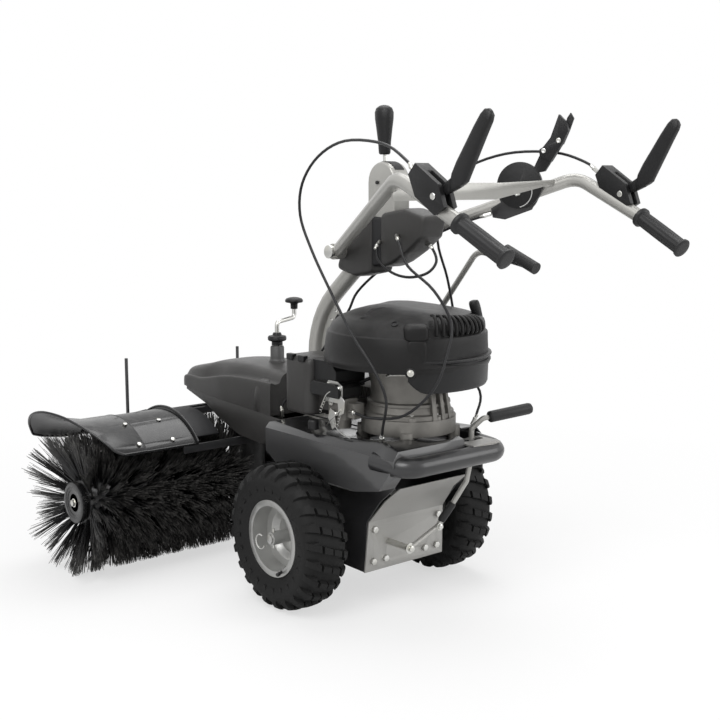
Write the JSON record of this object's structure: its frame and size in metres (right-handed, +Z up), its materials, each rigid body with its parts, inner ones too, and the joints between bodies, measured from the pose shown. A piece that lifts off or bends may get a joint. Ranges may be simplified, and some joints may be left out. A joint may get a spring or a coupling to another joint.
{
  "type": "power_brush_sweeper",
  "caption": "Walk-behind power brush sweeper with a roller brush under a black guard, engine, treaded wheels, gooseneck column and handlebar",
  "frame": {"origin": "on the floor, under the middle of the length and width of the whole machine", "axes": "+Y is forward, from the grips to the brush, +X is to the right of the operator and +Z is up"},
  "size_m": [1.086, 1.4742, 1.109],
  "materials": {
    "silver_paint": "satin silver-grey paint",
    "steel": "plain steel",
    "zinc": "zinc-plated steel",
    "black_paint": "satin black paint",
    "black_plastic": "moulded black plastic",
    "charcoal_plastic": "moulded charcoal plastic",
    "cast_alloy": "cast, as poured",
    "rubber": "matt black",
    "tyre": "matt black rubber",
    "bronze": "machined"
  },
  "bodies": {
    "chassis": {"side_frames": "silver_paint", "rear_plate": "silver_paint", "deck_plate": "steel", "body_cover": "black_plastic", "bumper": "black_paint", "nose_tray": "charcoal_plastic", "nose_cover": "charcoal_plastic", "column": "silver_paint", "console_base": "charcoal_plastic", "console_cover": "charcoal_plastic", "crankcase": "cast_alloy", "engine_cowl": "black_plastic", "fuel_tank": "black_plastic", "air_box": "black_plastic", "carburettor": "zinc", "muffler": "steel", "transaxle": "cast_alloy", "brush_belt": "rubber", "crank_tube": "silver_paint", "chassis_bolts": "zinc", "handle_bolts": "zinc", "control_cables": "rubber"},
    "wheels": {"axle": "steel", "axle_gear": "steel", "rims": "silver_paint", "tyres": "tyre", "wheel_pins": "zinc"},
    "crankshaft": {"crankshaft": "steel", "flywheel": "cast_alloy"},
    "brush_head": {"gearbox_case": "cast_alloy", "swivel_ring": "steel", "head_frame": "black_paint", "guard_left": "black_paint", "guard_right": "black_paint", "guard_flaps": "rubber", "front_rail": "black_paint", "guard_screws": "zinc"},
    "brush": {"brush_shaft": "steel", "worm_wheel": "bronze", "bristles_left": "black_plastic", "bristles_right": "black_plastic", "brush_caps": "black_plastic"},
    "worm": {"worm_shaft": "steel"},
    "handlebar": {"handle_arms": "silver_paint", "handle_plate": "silver_paint", "grips": "rubber", "lever_boxes": "black_plastic", "lock_bracket": "black_paint"},
    "clutch_left": {"clutch_lever_left": "black_plastic"},
    "clutch_right": {"clutch_lever_right": "black_plastic"},
    "lock_lever": {"lock_lever": "black_plastic"},
    "thumb_latch": {"thumb_latch": "black_plastic"},
    "console_lever": {"console_lever": "black_plastic"},
    "gear_lever": {"gear_lever": "zinc"},
    "angle_lever": {"angle_lever": "steel"},
    "crank": {"crank": "zinc"},
    "crank_knob": {"crank_knob": "black_plastic"},
    "jockey_leg": {"jockey_leg": "steel"},
    "jockey_wheel": {"jockey_wheel": "rubber"},
    "starter_grip": {"starter_grip": "black_plastic"}
  },
  "joints": [
    {"name": "wheel_spin", "type": "hinge", "parent": "chassis", "child": "wheels", "pos_m": [0, -0.05889, 0.165], "axis": [1, 0, 0], "continuous": true},
    {"name": "engine_spin", "type": "hinge", "parent": "chassis", "child": "crankshaft", "pos_m": [0, -0.20889, 0.4], "axis": [0, 0, 1], "continuous": true},
    {"name": "head_swivel", "type": "hinge", "parent": "chassis", "child": "brush_head", "pos_m": [0, 0.40111, 0.352], "axis": [0, 0, 1], "range_deg": [-15, 15]},
    {"name": "brush_spin", "type": "hinge", "parent": "brush_head", "child": "brush", "pos_m": [0, 0.45611, 0.175], "axis": [1, 0, 0], "continuous": true},
    {"name": "worm_spin", "type": "hinge", "parent": "brush_head", "child": "worm", "pos_m": [0, 0.40111, 0.175], "axis": [0, 0, 1], "continuous": true},
    {"name": "handle_tilt", "type": "hinge", "parent": "chassis", "child": "handlebar", "pos_m": [0, -0.01976, 0.78716], "axis": [1, 0, 0], "range_deg": [-10, 15], "deforming": ["control_cables"]},
    {"name": "clutch_left_pull", "type": "hinge", "parent": "handlebar", "child": "clutch_left", "pos_m": [-0.264, -0.57589, 0.919], "axis": [1, 0, 0], "range_deg": [0, 45], "stiffness_Nm_per_rad": 1.2, "springref_deg": -11.46},
    {"name": "clutch_right_pull", "type": "hinge", "parent": "handlebar", "child": "clutch_right", "pos_m": [0.264, -0.57589, 0.919], "axis": [1, 0, 0], "range_deg": [0, 45], "stiffness_Nm_per_rad": 1.2, "springref_deg": -11.46},
    {"name": "lock_swing", "type": "hinge", "parent": "handlebar", "child": "lock_lever", "pos_m": [0.18191, -0.35553, 0.922], "axis": [0.9034, 0.4288, 0], "range_deg": [-45, 0]},
    {"name": "latch_press", "type": "hinge", "parent": "lock_lever", "child": "thumb_latch", "pos_m": [0.2205, -0.43683, 1.03], "axis": [0.9034, 0.4288, 0], "range_deg": [0, 12], "stiffness_Nm_per_rad": 0.05, "springref_deg": -11.46},
    {"name": "console_swing", "type": "hinge", "parent": "chassis", "child": "console_lever", "pos_m": [0, -0.13089, 0.942], "axis": [1, 0, 0], "range_deg": [-20, 20]},
    {"name": "gear_shift", "type": "hinge", "parent": "chassis", "child": "gear_lever", "pos_m": [-0.051, -0.20889, 0.15], "axis": [0, 1, 0], "range_deg": [-4, 4]},
    {"name": "angle_swing", "type": "hinge", "parent": "chassis", "child": "angle_lever", "pos_m": [0.2, 0.14411, 0.352], "axis": [1, 0, 0], "range_deg": [-12, 12]},
    {"name": "crank_turn", "type": "hinge", "parent": "chassis", "child": "crank", "pos_m": [0, 0.28311, 0.5], "axis": [0, 0, 1], "range_deg": [0, 2880]},
    {"name": "knob_spin", "type": "hinge", "parent": "crank", "child": "crank_knob", "pos_m": [0.06456, 0.29683, 0.64], "axis": [0, 0, 1], "continuous": true},
    {"name": "leg_lift", "type": "slide", "parent": "chassis", "child": "jockey_leg", "axis": [0, 0, 1], "range_m": [0, 0.04]},
    {"name": "jockey_spin", "type": "hinge", "parent": "jockey_leg", "child": "jockey_wheel", "pos_m": [0, 0.20511, 0.062], "axis": [1, 0, 0], "continuous": true},
    {"name": "starter_pull", "type": "slide", "parent": "chassis", "child": "starter_grip", "axis": [0.8829, -0.4695, 0], "range_m": [0, 0.25]}
  ],
  "couplings": [
    {"joint": "worm_spin", "follows": "brush_spin", "ratio": 24},
    {"joint": "angle_swing", "follows": "head_swivel", "ratio": 0.8},
    {"joint": "leg_lift", "follows": "crank_turn", "m_per_rad": 0.00079577}
  ]
}
